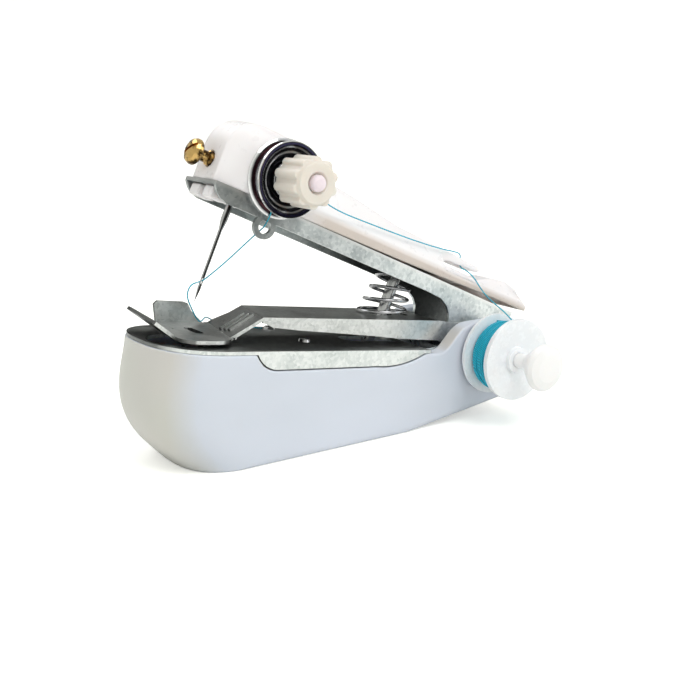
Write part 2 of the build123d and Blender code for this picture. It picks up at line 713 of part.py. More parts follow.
# ---- return spring of the upper arm, on its post ----
post_axis = Plane(origin=on_arm(POST_U, 0, 0), x_dir=arm.x_dir, z_dir=(0, 1, 0))
save(
    turned(
        post_axis,
        [(0, -5.2), (1.1, -5.2), (1.5, -4.9), (1.5, 12.7), (2.4, 12.7), (2.2, 13.3), (0, 13.4)],
    ),
    "spring_post",
)
with BuildPart() as post_nut:
    with BuildSketch(Plane(origin=on_arm(POST_U, 0, -4.3), x_dir=arm.x_dir, z_dir=arm.z_dir)):
        RegularPolygon(2.7, 6)
        Circle(1.52, mode=Mode.SUBTRACT)
    extrude(amount=2.0)
save(post_nut.part, "post_nut")
SPRING_WIRE_R, SPRING_TURNS, SPRING_STEPS = 0.45, 4.5, 10
spring_foot = on_deck(67.3, 0, PRESSER_TOP + SPRING_WIRE_R + 0.1)
spring_head = on_arm(POST_U, 0, ARM_TOP - ARM_SHEET - SPRING_WIRE_R - 0.1)
spring_run = spring_head - spring_foot
steps = int(SPRING_TURNS * SPRING_STEPS)
spring_coil = []
for step in range(steps + 1):
    share = step / steps
    climb = min(max((share - 0.11) / 0.78, 0), 1)
    radius = 6.0 - 1.9 * share
    angle = 2 * pi * step / SPRING_STEPS
    lean = climb * rise + (1 - climb) * tilt
    across = Vector(cos(lean), 0, -sin(lean))
    centre = spring_foot + spring_run * (0.04 * share + 0.96 * climb)
    spring_coil.append(centre + across * radius * cos(angle) + Vector(0, radius * sin(angle), 0))
save(tube_along(spring_coil, SPRING_WIRE_R)[0], "main_spring")

# ---- looper: a shaft under the deck, its bearings, the crank that the post pushes, and the hook ----
across_deck = Plane(origin=deck.origin, x_dir=(0, 1, 0), z_dir=deck.x_dir)


def bearing(start, length, with_foot):
    """A block under the deck that the looper shaft turns in."""
    with BuildPart() as block:
        with BuildSketch(across_deck.offset(start)):
            with Locations((LOOPER_Y, -4.4)):
                Rectangle(5, 7)
            with Locations((LOOPER_Y, LOOPER_N)):
                Circle(2.5)
            if with_foot:
                with Locations((4.1, -1.4)):
                    Rectangle(19.8, 1)
            with Locations((LOOPER_Y, LOOPER_N)):
                Circle(LOOPER_R + RUNNING_FIT, mode=Mode.SUBTRACT)
        extrude(amount=length)
    return block.part


with BuildPart() as rivet_holes:
    with BuildSketch(deck.offset(-3)):
        with Locations(*RIVETS):
            Circle(0.82)
    extrude(amount=3)
save(bearing(22.5, 3, False), "front_bearing")
save(bearing(39, 7, True) - rivet_holes.part, "rear_bearing")
with BuildPart() as looper_shaft:
    with BuildSketch(across_deck.offset(15.9)):
        with Locations((LOOPER_Y, LOOPER_N)):
            Circle(LOOPER_R)
    extrude(amount=CRANK_S + 1.4 - 15.9)
    crank_plane = Plane(
        origin=on_deck(CRANK_S - 1, LOOPER_Y, LOOPER_N),
        x_dir=Vector(0, -cos(radians(CRANK_REST)), 0) + deck.z_dir * sin(radians(CRANK_REST)),
        z_dir=deck.x_dir,
    )
    with BuildSketch(crank_plane):
        with BuildLine():
            Polyline((0, 0), (10.5, 0), (10.5, 1.0), (0, 1.6), close=True)
        make_face()
        Circle(1.9)
    extrude(amount=2)
save(looper_shaft.part, "looper_shaft")
with BuildPart() as looper_hook:
    with BuildSketch(across_deck.offset(16.6)):
        with BuildLine():
            blade_top = Spline(
                (LOOPER_Y, -4.1), (3.2, -4.9), (-2.2, -3.4), tangents=[(-1, 0.02), (-1, 0.5)]
            )
            blade_low = Spline(blade_top @ 1, (2.4, -6.6), (LOOPER_Y, -8.1), tangents=[(0.9, -1), (1, 0)])
            Line(blade_low @ 1, blade_top @ 0)
        make_face()
        with Locations((LOOPER_Y, LOOPER_N)):
            Circle(2.3)
            Circle(LOOPER_R + 0.01, mode=Mode.SUBTRACT)
    extrude(amount=1)
save(looper_hook.part, "looper_hook")
looper_coil = []
for i in range(49):
    turn = 2 * pi * i / 8
    looper_coil.append(on_deck(27.5 + 0.075 * i, LOOPER_Y + 1.9 * cos(turn), LOOPER_N + 1.9 * sin(turn)))
save(tube_along(looper_coil, 0.25)[0], "return_spring")

# ---- thread: bobbin to eyelet, eyelet to needle, and the loose tail beyond the needle's eye ----
EYELET_THREAD = (71.3, -6.9, 7.2)  # where the thread passes through the arm's eyelet
upper_route = [
    on_arm(2.55, -22.4, 8.25), on_arm(3.5, -19.6, 10.0), on_arm(4.1, -16.0, 11.4),
    on_arm(4.7, -12.2, 12.8), on_arm(5.4, -9.0, 14.8), on_arm(6.6, -6.8, 16.9),
    on_arm(7.6, -4.4, 18.1), on_arm(8.8, -2.8, 18.3), on_arm(9.3, -2.3, 20.0),
    on_arm(9.9, -2.6, 21.6), on_arm(13.0, -3.9, 21.4), on_arm(19.2, -5.0, 20.2),
    on_arm(30.2, -6.1, 19.0), on_arm(44.5, -7.5, 18.0), on_arm(56.0, -8.8, 17.3),
    on_arm(63.0, -9.25, 18.6), on_arm(68.2, -9.25, 21.0), on_arm(71.4, -9.25, 21.6),
    on_arm(74.0, -9.25, 20.2), on_arm(74.3, -9.25, 17.2), on_arm(72.6, -9.2, 13.4),
    on_arm(71.5, -8.6, 9.8), on_arm(*EYELET_THREAD),
]
upper_thread_part, upper_arcs, upper_length = tube_along(upper_route, THREAD_R)
save(upper_thread_part, "upper_thread")
needle_route = [
    on_arm(*EYELET_THREAD), on_arm(71.9, -5.4, 5.0), on_arm(74.6, -2.4, -2.6), on_arm(77.2, -0.5, -8.1),
    on_arm(77.75, 0.1, -8.9), on_arm(78.4, 0.15, -9.4),
]
needle_thread_part, needle_arcs, needle_length = tube_along(needle_route, THREAD_R)
save(needle_thread_part, "needle_thread")
tail_route = [
    on_arm(78.55, 0.15, -9.5), on_arm(79.6, -0.1, -10.0), on_arm(80.4, -0.6, -11.4),
    on_arm(80.2, -0.8, -13.4), on_deck(14.6, 0.4, 5.6), on_deck(16.9, 2.4, 3.5),
    on_deck(19.4, 5.4, 2.8), on_deck(22.0, 9.0, 3.1), on_deck(24.4, 12.4, 2.8),
    on_deck(27.6, 13.2, 1.3), on_deck(31.4, 12.9, 0.5), on_deck(35.6, 12.0, 0.4),
    on_deck(39.4, 10.9, 0.4),
]
needle_tail_part, tail_arcs, tail_length = tube_along(tail_route, THREAD_R)
save(needle_tail_part, "needle_tail")

print("upper thread: length", round(upper_length, 1), "radii", [round(r, 1) for r in upper_arcs])
print("needle thread: length", round(needle_length, 1), "radii", [round(r, 1) for r in needle_arcs])
print("needle tail: length", round(tail_length, 1), "radii", [round(r, 1) for r in tail_arcs])
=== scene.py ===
"""Looks of the pocket sewing machine: moulded parts, thread, springs, materials, floor, light and camera.

Lengths are in metres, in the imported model's frame: X towards the bobbin end, Z up, bobbin on the -Y side.
"""

import json
from math import cos, pi, radians, sin

import bmesh
import bpy
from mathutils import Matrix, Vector


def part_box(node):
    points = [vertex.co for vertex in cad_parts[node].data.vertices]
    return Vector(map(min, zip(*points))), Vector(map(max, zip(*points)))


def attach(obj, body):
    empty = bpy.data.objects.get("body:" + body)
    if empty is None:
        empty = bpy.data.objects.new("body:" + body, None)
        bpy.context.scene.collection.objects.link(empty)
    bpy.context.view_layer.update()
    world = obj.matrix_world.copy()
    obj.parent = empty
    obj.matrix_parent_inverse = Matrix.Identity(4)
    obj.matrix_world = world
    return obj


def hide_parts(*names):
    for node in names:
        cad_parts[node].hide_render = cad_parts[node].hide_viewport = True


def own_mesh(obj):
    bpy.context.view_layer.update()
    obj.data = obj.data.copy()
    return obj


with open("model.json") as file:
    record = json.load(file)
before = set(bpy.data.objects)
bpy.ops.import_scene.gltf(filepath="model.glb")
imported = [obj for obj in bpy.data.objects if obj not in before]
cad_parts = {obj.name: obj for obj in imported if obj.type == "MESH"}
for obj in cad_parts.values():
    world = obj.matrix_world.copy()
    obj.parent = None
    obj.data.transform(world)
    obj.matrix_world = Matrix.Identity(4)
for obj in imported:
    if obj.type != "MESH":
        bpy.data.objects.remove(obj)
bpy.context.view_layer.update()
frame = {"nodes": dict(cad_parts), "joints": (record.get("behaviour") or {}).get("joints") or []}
nodes = frame["nodes"]
MM = 0.001

# ---- places, the same as the design's ----
NOSE = Vector((-37 * MM, 0, 0))
TILT, RISE = radians(7.6), radians(24.0)
pivot_joint = next(j for j in frame["joints"] if j["name"] == "arm_press")
PIVOT = Vector(pivot_joint["pos_m"])
DECK_ORIGIN = NOSE + Vector((0, 0, 30 * MM))
DECK_ALONG = Vector((cos(TILT), 0, -sin(TILT)))
DECK_UP = Vector((sin(TILT), 0, cos(TILT)))
ARM_ALONG = Vector((-cos(RISE), 0, sin(RISE)))
ARM_UP = Vector((sin(RISE), 0, cos(RISE)))
ACROSS = Vector((0, 1, 0))
HEAD_U, HEAD_H = 71.3, 18.9  # axis of the thread tension, along the arm and square to it, in millimetres


def on_deck(s, y, n):
    """A point from its place along the deck, across it and above it, in millimetres."""
    return DECK_ORIGIN + (DECK_ALONG * s + ACROSS * y + DECK_UP * n) * MM


def on_arm(u, y, h):
    """A point from its place forward along the upper arm, across it and square to it, in millimetres."""
    return PIVOT + (ARM_ALONG * u + ACROSS * y + ARM_UP * h) * MM


# ---- materials ----
class Paint:
    """A small procedural material: a Principled shader fed by textures in object space."""

    def __init__(self, name, **constant):
        self.material = bpy.data.materials.new(name)
        self.material.use_nodes = True
        self.tree = self.material.node_tree
        self.shader = self.tree.nodes["Principled BSDF"]
        self.place = self.tree.nodes.new("ShaderNodeTexCoord").outputs["Object"]
        for socket, value in constant.items():
            self.shader.inputs[socket.replace("_", " ")].default_value = value

    def node(self, kind, **settings):
        made = self.tree.nodes.new(kind)
        for name, value in settings.items():
            setattr(made, name, value)
        return made

    def stretched(self, scale, turn=(0, 0, 0)):
        """The object's space stretched, for brushed or drawn surfaces."""
        mapping = self.node("ShaderNodeMapping")
        mapping.inputs["Scale"].default_value = scale
        mapping.inputs["Rotation"].default_value = turn
        self.tree.links.new(self.place, mapping.inputs["Vector"])
        return mapping.outputs["Vector"]

    def noise(self, scale, detail=3.0, roughness=0.55, space=None):
        texture = self.node("ShaderNodeTexNoise")
        texture.inputs["Scale"].default_value = scale
        texture.inputs["Detail"].default_value = detail
        texture.inputs["Roughness"].default_value = roughness
        self.tree.links.new(space or self.place, texture.inputs["Vector"])
        return texture.outputs["Fac"]

    def crystals(self, scale):
        texture = self.node("ShaderNodeTexVoronoi")
        texture.inputs["Scale"].default_value = scale
        self.tree.links.new(self.place, texture.inputs["Vector"])
        return texture.outputs["Color"]

    def bands(self, scale, distortion, space):
        texture = self.node("ShaderNodeTexWave", bands_direction="X")
        texture.inputs["Scale"].default_value = scale
        texture.inputs["Distortion"].default_value = distortion
        self.tree.links.new(space, texture.inputs["Vector"])
        return texture.outputs["Fac"]

    def ramp(self, factor, *stops):
        """Colours read off a ramp of (position, colour) stops."""
        ramp = self.node("ShaderNodeValToRGB")
        points = ramp.color_ramp.elements
        while len(points) < len(stops):
            points.new(0.5)
        for point, (position, colour) in zip(points, stops):
            point.position = position
            point.color = (*colour, 1)
        self.tree.links.new(factor, ramp.inputs["Fac"])
        return ramp.outputs["Color"]

    def span(self, factor, low, high, start=0.25, end=0.75):
        """The factor's stretch from start to end, spread over low to high."""
        spread = self.node("ShaderNodeMapRange")
        for socket, value in zip(("From Min", "From Max", "To Min", "To Max"), (start, end, low, high)):
            spread.inputs[socket].default_value = value
        self.tree.links.new(factor, spread.inputs["Value"])
        return spread.outputs["Result"]

    def mix(self, factor, one, other, kind="MIX"):
        mixer = self.node("ShaderNodeMix", data_type="RGBA", blend_type=kind)
        if isinstance(factor, float):
            mixer.inputs["Factor"].default_value = factor
        else:
            self.tree.links.new(factor, mixer.inputs["Factor"])
        self.tree.links.new(one, mixer.inputs["A"])
        self.tree.links.new(other, mixer.inputs["B"])
        return mixer.outputs["Result"]

    def vector(self, operation, source, other):
        """A vector operation between one that varies over the surface and a fixed one."""
        step = self.node("ShaderNodeVectorMath", operation=operation)
        self.tree.links.new(source, step.inputs[0])
        step.inputs[1].default_value = other
        return step.outputs["Value" if operation == "DOT_PRODUCT" else "Vector"]

    def size(self, source):
        """A number without its sign."""
        step = self.node("ShaderNodeMath", operation="ABSOLUTE")
        self.tree.links.new(source, step.inputs[0])
        return step.outputs["Value"]

    def along(self, direction):
        """Distance of the surface from the pivot along a direction, in metres."""
        return self.vector("DOT_PRODUCT", self.vector("SUBTRACT", self.place, PIVOT), direction)

    def facing(self, direction):
        """How squarely the surface faces along a direction, either way."""
        normal = self.node("ShaderNodeTexCoord").outputs["Normal"]
        return self.size(self.vector("DOT_PRODUCT", normal, direction))

    def radius(self, centre):
        """Distance of the surface from an axis across the machine, in metres."""
        offset = self.vector("MULTIPLY", self.vector("SUBTRACT", self.place, centre), (1, 0, 1))
        length = self.node("ShaderNodeVectorMath", operation="LENGTH")
        self.tree.links.new(offset, length.inputs[0])
        return length.outputs["Value"]

    def feed(self, socket, source):
        self.tree.links.new(source, self.shader.inputs[socket])

    def bump(self, height, distance, strength=1.0, under=None):
        bump = self.node("ShaderNodeBump")
        bump.inputs["Distance"].default_value = distance
        bump.inputs["Strength"].default_value = strength
        self.tree.links.new(height, bump.inputs["Height"])
        if under:
            self.tree.links.new(under, bump.inputs["Normal"])
        self.tree.links.new(bump.outputs["Normal"], self.shader.inputs["Normal"])
        return bump.outputs["Normal"]


def plastic(name, light, dark, rough=0.3, glow=0.1, cover_edge_shade=None, end_shade_tones=None):
    """Moulded plastic: faint flow marks, a fine grain and uneven gloss.

    An optional colour paints shade along the lower edge of the arm's cover, and an optional pair of tones
    paints warmer shade on what faces along X.
    """
    paint = Paint(name, Subsurface_Weight=glow, Subsurface_Radius=(1, 0.8, 0.7), Subsurface_Scale=2 * MM)
    flow = paint.noise(38, detail=2, space=paint.stretched((0.6, 1.2, 1.6)))
    colour = paint.ramp(flow, (0.3, dark), (0.7, light))
    if cover_edge_shade:
        # painted shade: the given colour along the cover's lower edge, away from the head end
        low = paint.span(paint.along(ARM_UP), 1.0, 0.0, 14.6 * MM, 16.2 * MM)
        rear = paint.span(paint.along(ARM_ALONG), 1.0, 0.0, 56 * MM, 64 * MM)
        edge_shade_mask = paint.node("ShaderNodeMath", operation="MULTIPLY")
        paint.tree.links.new(low, edge_shade_mask.inputs[0])
        paint.tree.links.new(rear, edge_shade_mask.inputs[1])
        lighter = tuple(min(1, tone * 1.06) for tone in cover_edge_shade)
        shade = paint.ramp(paint.noise(60, detail=2), (0.3, cover_edge_shade), (0.7, lighter))
        colour = paint.mix(edge_shade_mask.outputs["Value"], colour, shade)
    if end_shade_tones:
        # painted shade: warmer, darker tones on what faces along X
        end_shade_mask = paint.span(paint.facing((1, 0, 0)), 0.0, 1.0, 0.3, 0.75)
        painted_end_shade = paint.ramp(paint.noise(30, detail=1), (0.3, end_shade_tones[0]), (0.7, end_shade_tones[1]))
        colour = paint.mix(end_shade_mask, colour, painted_end_shade)
    paint.feed("Base Color", colour)
    scuffs = paint.noise(420, detail=5, roughness=0.7)
    paint.feed("Roughness", paint.span(scuffs, rough - 0.05, rough + 0.1))
    soft = paint.bump(paint.noise(90, detail=1), 6e-5, strength=0.35)
    paint.bump(paint.noise(2600, detail=2), 1.2e-5, strength=0.5, under=soft)
    return paint.material


def zinc_steel(name, light, dark, painted_top_shade=1.0, painted_slope_shade=1.0, arm=False):
    """Galvanised sheet: crystals that differ in tone and gloss, rolling marks and small scratches.

    The two tone factors darken, as painted shade, what faces upwards and what leans along the deck. arm adds
    a painted highlight along the upper arm's bent top edge, makes it darker towards the head end and paints
    shade on its inside.
    """
    paint = Paint(name, Metallic=1.0)
    crystal = paint.crystals(1300)
    cloud = paint.noise(140, detail=5)
    tone = paint.ramp(paint.mix(0.3, cloud, crystal), (0.3, dark), (0.62, light))
    grain = paint.noise(300, detail=6, roughness=0.75, space=paint.stretched((0.12, 1, 1)))
    colour = paint.mix(0.25, tone, paint.ramp(grain, (0.35, dark), (0.55, light)), "MULTIPLY")
    if arm:
        forward = paint.along(ARM_ALONG)
        # painted highlight: a bright line along the bent top edge of the arm's sides
        edge = paint.span(paint.along(ARM_UP), 0.0, 0.85, 11.7 * MM, 12.3 * MM)
        painted_bend_highlight = paint.ramp(cloud, (0.3, (0.9, 0.91, 0.91)), (0.6, (0.98, 0.98, 0.98)))
        colour = paint.mix(edge, colour, painted_bend_highlight)
        colour = paint.mix(1.0, colour, paint.span(forward, 1.0, 0.5, 62 * MM, 70 * MM), "MULTIPLY")
        # painted shade inside the channel: faces within 6.5 mm of the middle are darkened, most of all
        # towards the rear
        outer = paint.span(paint.size(paint.along(ACROSS)), 0.0, 1.0, 6.5 * MM, 6.6 * MM)
        painted_inside_shade = paint.mix(1.0, colour, paint.span(forward, 0.16, 0.95, 35 * MM, 60 * MM), "MULTIPLY")
        colour = paint.mix(outer, painted_inside_shade, colour)
    if painted_top_shade < 1:
        # painted shade: darker where the surface does not face across the machine, as upward faces
        top_shade_mask = paint.span(paint.facing(ACROSS), painted_top_shade, 1.0, 0.35, 0.75)
        colour = paint.mix(1.0, colour, top_shade_mask, "MULTIPLY")
    if painted_slope_shade < 1:
        # painted shade: darker where the surface leans along the deck
        slope_shade_mask = paint.span(paint.facing(DECK_ALONG), 1.0, painted_slope_shade, 0.25, 0.4)
        colour = paint.mix(1.0, colour, slope_shade_mask, "MULTIPLY")
    paint.feed("Base Color", colour)
    gloss = paint.mix(0.3, cloud, grain)
    paint.feed("Roughness", paint.span(gloss, 0.24, 0.44))
    flat = paint.bump(paint.noise(45, detail=2), 1.0e-4, strength=0.4)
    pits = paint.bump(crystal, 6e-6, strength=0.5, under=flat)
    paint.bump(grain, 6e-6, strength=0.4, under=pits)
    return paint.material


def bright_metal(name, light, dark, rough=0.16, patches=130, contrast=0.2, reflection_streak=None):
    """Turned or drawn metal: fine lines and smudges, which at high contrast act as painted reflections, and,
    given a direction, a painted dark reflection down the face that looks along it.
    """
    paint = Paint(name, Metallic=1.0)
    smudges_and_painted_reflections = paint.noise(patches, detail=5, roughness=0.65)
    colour = paint.ramp(smudges_and_painted_reflections, (0.5 - contrast, dark), (0.5 + contrast, light))
    if reflection_streak:
        # painted reflection: a dark line down the face that looks along the given direction
        reflection_streak_mask = paint.span(paint.facing(reflection_streak), 0.0, 1.0, 0.84, 0.92)
        shade = paint.ramp(smudges_and_painted_reflections, (0.3, (0.01, 0.01, 0.01)), (0.7, (0.04, 0.04, 0.04)))
        colour = paint.mix(reflection_streak_mask, colour, shade)
    paint.feed("Base Color", colour)
    paint.feed("Roughness", paint.span(smudges_and_painted_reflections, rough - 0.05, rough + 0.14))
    lines = paint.noise(2600, detail=2, space=paint.stretched((1, 0.08, 1)))
    paint.bump(lines, 4e-6, strength=0.5)
    return paint.material


def disc_chrome(name, rings):
    """Polished disc: bright and dark rings painted into its colour as reflections, as a dished chrome disc
    shows its surroundings.
    """
    paint = Paint(name, Metallic=0.8)
    reach = paint.span(paint.radius(on_arm(HEAD_U, 0, HEAD_H)), 0.0, 1.0, 0.0, 10 * MM)
    smudges_and_painted_reflections = paint.noise(150, detail=5, roughness=0.65)
    wobble = paint.mix(0.04, reach, smudges_and_painted_reflections)
    paint.feed("Base Color", paint.ramp(wobble, *rings))
    paint.feed("Roughness", paint.span(smudges_and_painted_reflections, 0.04, 0.14))
    paint.bump(paint.noise(2400, detail=2), 2e-6, strength=0.4)
    return paint.material


def thread_material(name, light, dark):
    """Twisted sewing thread with a soft sheen."""
    paint = Paint(name, Sheen_Weight=0.12, Sheen_Roughness=0.4, Roughness=0.55)
    twist = paint.bands(900, 2.5, paint.stretched((1, 0.7, 0.9), turn=(0.4, 0.5, 0.6)))
    fuzz = paint.noise(3800, detail=4)
    colour = paint.ramp(paint.mix(0.5, twist, fuzz), (0.2, dark), (0.75, light))
    shade = paint.ramp(paint.noise(160, detail=2), (0.3, (0.78, 0.82, 0.86)), (0.7, (1, 1, 1)))
    paint.feed("Base Color", paint.mix(0.6, colour, shade, "MULTIPLY"))
    paint.bump(twist, 4e-5, strength=0.7)
    return paint.material


# case: its front and rear ends, which face along X, take warmer darker tones as painted shade
CASE_WHITE = plastic(
    "case_white", (0.7, 0.74, 0.83), (0.66, 0.7, 0.78), rough=0.34, glow=0.1,
    end_shade_tones=((0.66, 0.66, 0.61), (0.7, 0.66, 0.65)),
)
# arm cover: a beige strip along its lower edge is painted shade
COVER_WHITE = plastic(
    "cover_white", (0.95, 0.92, 0.93), (0.91, 0.87, 0.88), rough=0.28, glow=0.15, cover_edge_shade=(0.62, 0.55, 0.5)
)
BUTTON_WHITE = plastic("button_white", (0.95, 0.94, 0.94), (0.92, 0.91, 0.91), rough=0.34, glow=0.2)
BOBBIN_WHITE = plastic("bobbin_white", (0.94, 0.955, 0.985), (0.9, 0.925, 0.96), rough=0.24, glow=0.3)
KNOB_MILKY = plastic("knob_milky", (0.82, 0.77, 0.7), (0.76, 0.7, 0.63), rough=0.34, glow=0.5)
CAP_PINK = plastic("cap_pink", (0.9, 0.78, 0.83), (0.86, 0.74, 0.79), rough=0.3, glow=0.25)
NYLON = plastic("bearing_nylon", (0.86, 0.85, 0.8), (0.8, 0.79, 0.74), rough=0.42, glow=0.2)
# upper arm: painted highlight on its bent edge, darker towards the head end, painted shade inside the
# channel
ZINC = zinc_steel("zinc_steel", (0.92, 0.95, 0.95), (0.55, 0.6, 0.61), arm=True)
# deck and presser: painted shade on their upward faces, and on the presser's faces that lean along the deck
DECK_STEEL = zinc_steel("deck_steel", (0.95, 0.97, 0.96), (0.66, 0.7, 0.69), painted_top_shade=0.24)
PRESSER_STEEL = zinc_steel(
    "presser_steel", (0.92, 0.93, 0.92), (0.6, 0.62, 0.61), painted_top_shade=0.5, painted_slope_shade=0.3
)
BRIGHT = bright_metal("bright_steel", (0.66, 0.66, 0.66), (0.45, 0.45, 0.46))
SPRING = bright_metal("spring_steel", (0.6, 0.6, 0.61), (0.25, 0.25, 0.27), rough=0.14)
# needle: a painted dark reflection runs down the face that looks across the view
NEEDLE_STEEL = bright_metal(
    "needle_steel", (0.75, 0.75, 0.76), (0.3, 0.3, 0.31), rough=0.1, patches=260, reflection_streak=(0.3, 0.95, 0)
)
# tones of the painted reflection rings on the tension discs
BLACK, MAROON, VIOLET = (0.012, 0.012, 0.016), (0.07, 0.015, 0.02), (0.05, 0.045, 0.11)
SILVER, WHITE = (0.6, 0.6, 0.62), (0.97, 0.97, 0.98)
INNER_CHROME = disc_chrome(
    "disc_chrome", [(0.62, BLACK), (0.73, SILVER), (0.77, MAROON), (0.83, BLACK), (0.875, WHITE)]
)
OUTER_CHROME = disc_chrome(
    "outer_chrome",
    [
        (0.575, BLACK), (0.605, WHITE), (0.64, BLACK), (0.69, BLACK), (0.715, SILVER), (0.74, BLACK),
        (0.79, VIOLET), (0.815, BLACK), (0.84, WHITE),
    ],
)
# brass screw: its strong dark and light patches are painted reflections in the base colour
BRASS = bright_metal(
    "screw_brass", (0.72, 0.47, 0.17), (0.05, 0.025, 0.006), rough=0.09, patches=300, contrast=0.05
)
TEAL = thread_material("thread_teal", (0.004, 0.6, 0.78), (0.001, 0.2, 0.32))


def paint(obj, material, slot=None):
    """Gives a piece one material. The slot argument is not used."""
    obj.data.materials.clear()
    obj.data.materials.append(material)
    return obj


for material, names in (
    (CASE_WHITE, ["lower_shell"]),
    (COVER_WHITE, ["top_cover"]),
    (BUTTON_WHITE, ["bobbin_spindle"]),
    (BOBBIN_WHITE, ["bobbin"]),
    (KNOB_MILKY, ["tension_knob"]),
    (CAP_PINK, ["knob_cap"]),
    (NYLON, ["front_bearing", "rear_bearing"]),
    (ZINC, ["upper_arm"]),
    (DECK_STEEL, ["deck_plate"]),
    (PRESSER_STEEL, ["presser_arm"]),
    (BRIGHT, ["deck_rivets", "pivot_tube", "bobbin_washer", "needle_bush", "tension_stud", "spring_post"]),
    (BRIGHT, ["post_nut", "looper_shaft", "looper_hook"]),
    (SPRING, ["return_spring", "main_spring", "tension_spring"]),
    (NEEDLE_STEEL, ["needle"]),
    (INNER_CHROME, ["inner_tension_disc"]),
    (OUTER_CHROME, ["outer_tension_disc"]),
    (BRASS, ["needle_screw"]),
    (TEAL, ["upper_thread", "needle_thread", "needle_tail", "bobbin_thread"]),
):
    for name in names:
        paint(nodes[name], material)


# ---- piece builders ----
def link(obj):
    bpy.context.scene.collection.objects.link(obj)
    return obj


def smooth(mesh):
    mesh.polygons.foreach_set("use_smooth", [True] * len(mesh.polygons))


def final_mesh(obj):
    """The object's mesh with its modifiers applied."""
    bpy.context.view_layer.update()
    graph = bpy.context.evaluated_depsgraph_get()
    return bpy.data.meshes.new_from_object(obj.evaluated_get(graph))


def moulded(name, node, voxel, passes, body, material, slot):
    """A moulded plastic part: the node's shape with every edge softened."""
    piece = link(bpy.data.objects.new(name, nodes[node].data.copy()))
    remesh = piece.modifiers.new("even", "REMESH")
    remesh.mode = "VOXEL"
    remesh.voxel_size = voxel
    soften = piece.modifiers.new("soften", "SMOOTH")
    soften.factor = 0.5
    soften.iterations = passes
    thin = piece.modifiers.new("thin", "DECIMATE")
    thin.decimate_type = "COLLAPSE"
    thin.ratio = 0.35
    mesh = final_mesh(piece)
    piece.modifiers.clear()
    piece.data = mesh
    smooth(mesh)
    paint(piece, material, slot)
    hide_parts(node)
    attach(piece, body)


def route_curve(name, points, radius=0.0, facets=4):
    """A smooth line with the points as its control points, round if it has a radius."""
    curve = bpy.data.curves.new(name, "CURVE")
    curve.dimensions = "3D"
    curve.resolution_u = 12
    curve.bevel_depth = radius
    curve.bevel_resolution = facets
    curve.use_fill_caps = radius > 0
    spline = curve.splines.new("NURBS")
    spline.points.add(len(points) - 1)
    for control, point in zip(spline.points, points):
        control.co = (*point, 1)
    spline.order_u = 3
    spline.use_endpoint_u = True
    return bpy.data.objects.new(name, curve)


def line_points(name, points):
    """Points along the smooth line through a route."""
    line = link(route_curve(name, points))
    bpy.context.view_layer.update()
    mesh = bpy.data.meshes.new_from_object(line.evaluated_get(bpy.context.evaluated_depsgraph_get()))
    found = [vertex.co.copy() for vertex in mesh.vertices]
    bpy.data.objects.remove(line)
    return found


def round_wire(name, points, radius, material, slot, facets=5):
    """A mesh of round wire or thread along a route."""
    line = link(route_curve(name + "_line", points, radius, facets))
    piece = link(bpy.data.objects.new(name, final_mesh(line)))
    bpy.data.objects.remove(line)
    smooth(piece.data)
    return paint(piece, material, slot)


moulded("case_shell", "lower_shell", 0.33 * MM, 5, "base", CASE_WHITE, "case_white")
moulded("arm_cover", "top_cover", 0.25 * MM, 5, "arm", COVER_WHITE, "cover_white")
moulded("lobed_knob", "tension_knob", 0.16 * MM, 2, "knob", KNOB_MILKY, "knob_milky")

# sheet metal and turned parts keep their CAD shape, with a small round on their edges
for name, width in (
    ("upper_arm", 0.12), ("presser_arm", 0.12), ("deck_plate", 0.1),
    ("needle_screw", 0.08), ("post_nut", 0.1), ("spring_post", 0.08),
):
    edge = nodes[name].modifiers.new("edge", "BEVEL")
    edge.width = width * MM
    edge.segments = 2
    edge.limit_method = "ANGLE"
    edge.angle_limit = radians(35)


# ---- springs ----
def coil(start, end, lean_start, lean_end, radius_start, radius_end, turns, steps):
    """Control points of a coil from start to end, whose first and last turns lie nearly flat.

    closed is the share of the wire in each of these, and flat_rise is the share of the height that the whole
    wire climbs evenly.
    """
    closed, flat_rise = 0.11, 0.04
    points = []
    count = int(turns * steps)
    for step in range(count + 1):
        share = step / count
        climb = min(max((share - closed) / (1 - 2 * closed), 0), 1)
        radius = radius_start + (radius_end - radius_start) * share
        lean = lean_start + (lean_end - lean_start) * climb
        across = Vector((cos(lean), 0, -sin(lean)))
        angle = 2 * pi * step / steps
        centre = start.lerp(end, flat_rise * share + (1 - flat_rise) * climb)
        points.append(centre + across * radius * cos(angle) + ACROSS * radius * sin(angle))
    return points


spring_foot, spring_head = on_deck(67.3, 0, 7.0), on_arm(25.8, 0, 10.7)
main_coil = coil(spring_foot, spring_head, TILT, RISE, 6.15 * MM, 4.2 * MM, 4.5, 16)
spring = round_wire("main_spring_coil", main_coil, 0.42 * MM, SPRING, "spring_steel", facets=5)
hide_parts("main_spring")
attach(spring, "presser")
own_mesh(spring)

